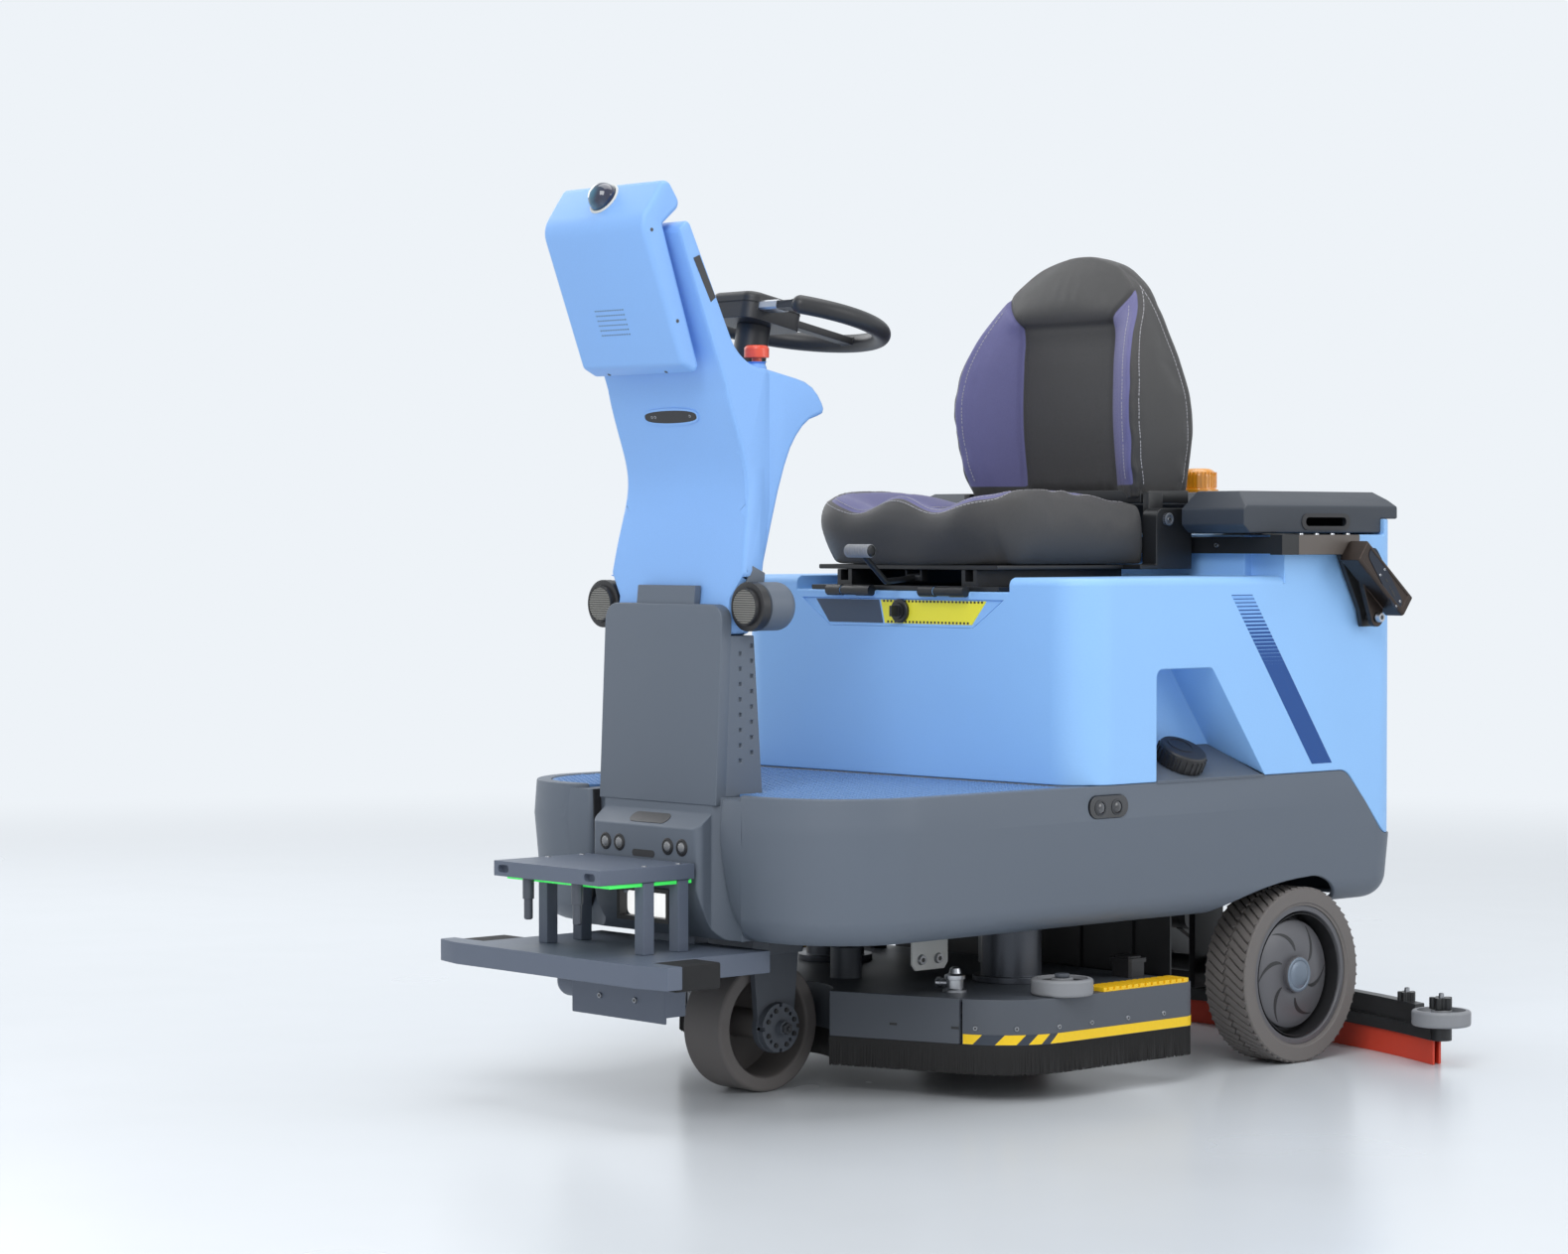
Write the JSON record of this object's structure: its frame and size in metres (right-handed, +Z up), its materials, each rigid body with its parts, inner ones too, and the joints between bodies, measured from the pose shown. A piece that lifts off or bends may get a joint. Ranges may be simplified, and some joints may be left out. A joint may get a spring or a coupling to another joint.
{
  "type": "robotic floor scrubber",
  "caption": "Ride-on robotic floor scrubber with a sensor column, driver's seat, brush deck, curved squeegee and a steered front drive wheel.",
  "frame": {"origin": "on the floor under the middle of the machine's box", "axes": "+X to the machine's left side, -Y to its front, +Z up"},
  "size_m": [1.27, 1.666, 1.449],
  "materials": {
    "hull_grey": "satin moulded plastic",
    "body_blue": "fine-textured satin plastic",
    "mat_blue": "dotted rubber mat",
    "frame_black": "black powder coat",
    "platform_grey": "slate powder coat",
    "black_plastic": "black moulded plastic",
    "black_rubber": "black rubber",
    "tyre_grey": "grey non-marking rubber",
    "rim_grey": "painted cast rim",
    "motor_dark": "dark motor housing",
    "seat_vinyl": "stitched vinyl",
    "blade_red": "red squeegee rubber",
    "bristle_black": "black bristles",
    "hazard_yellow": "yellow serrated strip",
    "stop_red": "red button",
    "lens_dark": "dark glossy window",
    "pod_lens_grey": "ribbed grey lens",
    "lamp_white": "white lamp",
    "light_green": "green light strip",
    "pin_steel": "turned steel",
    "beacon_amber": "amber beacon",
    "case_dark": "dark plastic case",
    "tank_white": "white tank plastic"
  },
  "bodies": {
    "chassis": {"lower_hull": "hull_grey", "fascia": "hull_grey", "column_panel": "hull_grey", "pod_housings": "hull_grey", "body_shell": "body_blue", "column_shell": "body_blue", "head_shell": "body_blue", "footwell_mat": "mat_blue", "chassis_frame": "frame_black", "camera_bar": "frame_black", "sensor_platform": "platform_grey", "bumper_plate": "platform_grey", "steering_tube": "black_plastic", "bumper_blocks": "black_rubber", "vacuum_motor": "motor_dark", "dome_lens": "lens_dark", "sensor_windows": "lens_dark", "pod_lenses": "pod_lens_grey", "front_lamp": "lamp_white", "light_strip": "light_green", "dock_pins": "pin_steel", "battery_pack": "case_dark", "control_unit": "case_dark", "recovery_tank": "tank_white"},
    "steering": {"steering_wheel": "black_plastic"},
    "estop": {"estop_button": "stop_red"},
    "pedal": {"drive_pedal": "black_plastic"},
    "key": {"key_barrel": "black_plastic"},
    "filler_cap": {"fill_cap": "black_plastic"},
    "lid": {"tank_lid": "hull_grey", "beacon": "beacon_amber"},
    "camera_left": {"side_camera_left": "black_plastic"},
    "camera_right": {"side_camera_right": "black_plastic"},
    "fork": {"steer_fork": "platform_grey", "drive_motor": "motor_dark"},
    "front_wheel": {"front_wheel": "tyre_grey"},
    "rear_wheel_left": {"rear_tyre_left": "tyre_grey", "rear_rim_left": "rim_grey"},
    "rear_wheel_right": {"rear_tyre_right": "tyre_grey", "rear_rim_right": "rim_grey"},
    "deck": {"deck_housing": "platform_grey", "deck_skirt": "bristle_black", "brush_motors": "motor_dark", "step_strips": "hazard_yellow"},
    "deck_roller_left": {"deck_roller_left": "tyre_grey"},
    "deck_roller_right": {"deck_roller_right": "tyre_grey"},
    "brush_left": {"brush_left": "bristle_black"},
    "brush_right": {"brush_right": "bristle_black"},
    "squeegee": {"squeegee_arm": "frame_black", "squeegee_frame": "frame_black", "squeegee_blades": "blade_red"},
    "squeegee_roller_left": {"squeegee_roller_left": "tyre_grey"},
    "squeegee_roller_right": {"squeegee_roller_right": "tyre_grey"},
    "squeegee_caster_left": {"squeegee_caster_left": "tyre_grey"},
    "squeegee_caster_right": {"squeegee_caster_right": "tyre_grey"},
    "seat_base": {"seat_plate": "frame_black"},
    "seat": {"seat_frame": "frame_black", "seat_cushion": "seat_vinyl"},
    "seat_back": {"backrest": "seat_vinyl"},
    "seat_lever": {"slide_lever": "black_plastic"}
  },
  "joints": [
    {"name": "fork_steer", "type": "hinge", "parent": "chassis", "child": "fork", "pos_m": [0, -0.403, 0.262], "axis": [0, 0, 1], "range_deg": [-45, 45]},
    {"name": "front_wheel_spin", "type": "hinge", "parent": "fork", "child": "front_wheel", "pos_m": [0, -0.403, 0.107], "axis": [1, 0, 0], "continuous": true},
    {"name": "rear_wheel_left_spin", "type": "hinge", "parent": "chassis", "child": "rear_wheel_left", "pos_m": [0.364, 0.492, 0.15], "axis": [1, 0, 0], "continuous": true},
    {"name": "rear_wheel_right_spin", "type": "hinge", "parent": "chassis", "child": "rear_wheel_right", "pos_m": [-0.364, 0.492, 0.15], "axis": [1, 0, 0], "continuous": true},
    {"name": "steering_turn", "type": "hinge", "parent": "chassis", "child": "steering", "pos_m": [0, -0.391, 1.259], "axis": [0, 0.1908, 0.9816], "range_deg": [-90, 90]},
    {"name": "seat_tip", "type": "hinge", "parent": "chassis", "child": "seat_base", "pos_m": [0, -0.075, 0.806], "axis": [1, 0, 0], "range_deg": [0, 38]},
    {"name": "seat_slide", "type": "slide", "parent": "seat_base", "child": "seat", "axis": [0, -1, 0], "range_m": [0, 0.05]},
    {"name": "back_recline", "type": "hinge", "parent": "seat", "child": "seat_back", "pos_m": [0, 0.327, 0.915], "axis": [-1, 0, 0], "range_deg": [-8, 10]},
    {"name": "lever_lift", "type": "hinge", "parent": "seat", "child": "seat_lever", "pos_m": [0.01, -0.036, 0.8278], "axis": [-1, 0, 0], "range_deg": [0, 8], "stiffness_Nm_per_rad": 1, "springref_deg": -17.19},
    {"name": "lid_open", "type": "hinge", "parent": "chassis", "child": "lid", "pos_m": [0, 0.756, 0.927], "axis": [-1, 0, 0], "range_deg": [0, 75]},
    {"name": "deck_lift", "type": "slide", "parent": "chassis", "child": "deck", "axis": [0, 0, 1], "range_m": [-0.045, 0.015]},
    {"name": "brush_left_spin", "type": "hinge", "parent": "deck", "child": "brush_left", "pos_m": [0.212, -0.015, 0.092], "axis": [0, 0, 1], "continuous": true},
    {"name": "deck_roller_left_spin", "type": "hinge", "parent": "deck", "child": "deck_roller_left", "pos_m": [0.405, -0.097, 0.1785], "axis": [0, 0, 1], "continuous": true},
    {"name": "brush_right_spin", "type": "hinge", "parent": "deck", "child": "brush_right", "pos_m": [-0.212, -0.015, 0.092], "axis": [0, 0, 1], "continuous": true},
    {"name": "deck_roller_right_spin", "type": "hinge", "parent": "deck", "child": "deck_roller_right", "pos_m": [-0.405, -0.097, 0.1785], "axis": [0, 0, 1], "continuous": true},
    {"name": "squeegee_lift", "type": "hinge", "parent": "chassis", "child": "squeegee", "pos_m": [0, 0.59, 0.215], "axis": [1, 0, 0], "range_deg": [0, 12]},
    {"name": "squeegee_roller_left_spin", "type": "hinge", "parent": "squeegee", "child": "squeegee_roller_left", "pos_m": [0.585, 0.647, 0.0805], "axis": [0, 0, 1], "continuous": true},
    {"name": "squeegee_caster_left_spin", "type": "hinge", "parent": "squeegee", "child": "squeegee_caster_left", "pos_m": [0.5, 0.72475, 0.046], "axis": [1, 0, 0], "continuous": true},
    {"name": "squeegee_roller_right_spin", "type": "hinge", "parent": "squeegee", "child": "squeegee_roller_right", "pos_m": [-0.585, 0.647, 0.0805], "axis": [0, 0, 1], "continuous": true},
    {"name": "squeegee_caster_right_spin", "type": "hinge", "parent": "squeegee", "child": "squeegee_caster_right", "pos_m": [-0.5, 0.72475, 0.046], "axis": [1, 0, 0], "continuous": true},
    {"name": "estop_press", "type": "slide", "parent": "chassis", "child": "estop", "axis": [0, 0, -1], "range_m": [0, 0.006], "stiffness_N_per_m": 400, "springref_m": -0.004},
    {"name": "key_turn", "type": "hinge", "parent": "chassis", "child": "key", "pos_m": [0, -0.066, 0.772], "axis": [0, 1, 0], "range_deg": [0, 90]},
    {"name": "pedal_press", "type": "hinge", "parent": "chassis", "child": "pedal", "pos_m": [-0.07, -0.392, 0.508], "axis": [1, 0, 0], "range_deg": [0, 18], "stiffness_Nm_per_rad": 6, "springref_deg": -17.19},
    {"name": "cap_turn", "type": "hinge", "parent": "chassis", "child": "filler_cap", "pos_m": [0.372, 0.215, 0.52044], "axis": [0.4692, 0, 0.8831], "range_deg": [0, 90]},
    {"name": "camera_left_tilt", "type": "hinge", "parent": "chassis", "child": "camera_left", "pos_m": [0.4453, 0.634, 0.758], "axis": [1, 0, 0], "range_deg": [-10, 10]},
    {"name": "camera_right_tilt", "type": "hinge", "parent": "chassis", "child": "camera_right", "pos_m": [-0.4453, 0.634, 0.758], "axis": [1, 0, 0], "range_deg": [-10, 10]}
  ],
  "couplings": [
    {"joint": "steering_turn", "follows": "fork_steer", "ratio": 2}
  ]
}
